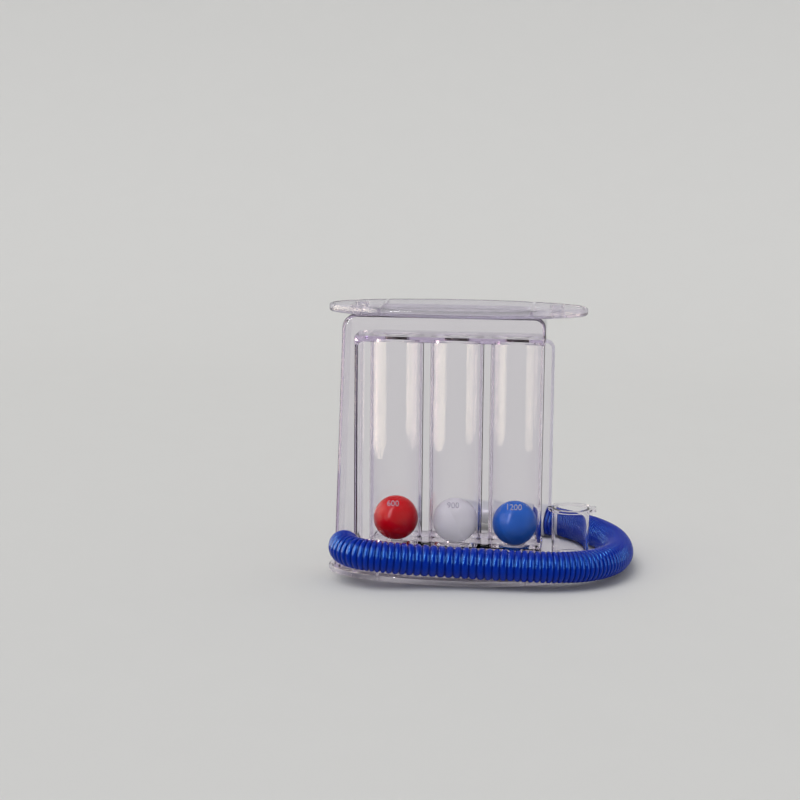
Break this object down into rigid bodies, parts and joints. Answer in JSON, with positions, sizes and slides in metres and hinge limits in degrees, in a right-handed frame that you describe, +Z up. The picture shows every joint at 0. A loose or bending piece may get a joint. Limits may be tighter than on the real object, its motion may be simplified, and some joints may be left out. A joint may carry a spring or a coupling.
{
  "type": "incentive spirometer",
  "caption": "Clear breathing exerciser: balls rise in columns as the user inhales through a corrugated hose; oval base plates and a mouthpiece cup.",
  "frame": {"origin": "centre of the lower plate's underside", "axes": "+X to the right along the row of columns, -Y towards the user, +Z up along the columns"},
  "size_m": [0.172, 0.1691, 0.1518],
  "materials": {
    "clear_plastic": "clear polished moulding",
    "red_ball": "smooth moulded",
    "white_ball": "smooth moulded, milky",
    "blue_ball": "smooth moulded",
    "hose_blue": "satin corrugated",
    "mouthpiece_white": "smooth moulded"
  },
  "bodies": {
    "body": {"front_shell": "clear_plastic", "rear_shell": "clear_plastic", "upper_base_plate": "clear_plastic", "lower_base_plate": "clear_plastic", "upper_stop_strip": "clear_plastic", "lower_seat_strip": "clear_plastic", "hose_port": "clear_plastic", "mouthpiece_cup": "clear_plastic", "hose": "hose_blue"},
    "red": {"ball_red": "red_ball"},
    "white": {"ball_white": "white_ball"},
    "blue": {"ball_blue": "blue_ball"},
    "lips": {"mouthpiece": "mouthpiece_white"}
  },
  "joints": [
    {"name": "red_rise", "type": "slide", "parent": "body", "child": "red", "axis": [0, 0, 1], "range_m": [0, 0.0922]},
    {"name": "white_rise", "type": "slide", "parent": "body", "child": "white", "axis": [0, 0, 1], "range_m": [0, 0.0926]},
    {"name": "blue_rise", "type": "slide", "parent": "body", "child": "blue", "axis": [0, 0, 1], "range_m": [0, 0.0931]},
    {"name": "mouthpiece_pull", "type": "slide", "parent": "body", "child": "lips", "axis": [-0.9556, 0.2925, 0.0341], "range_m": [0, 0.014]}
  ]
}
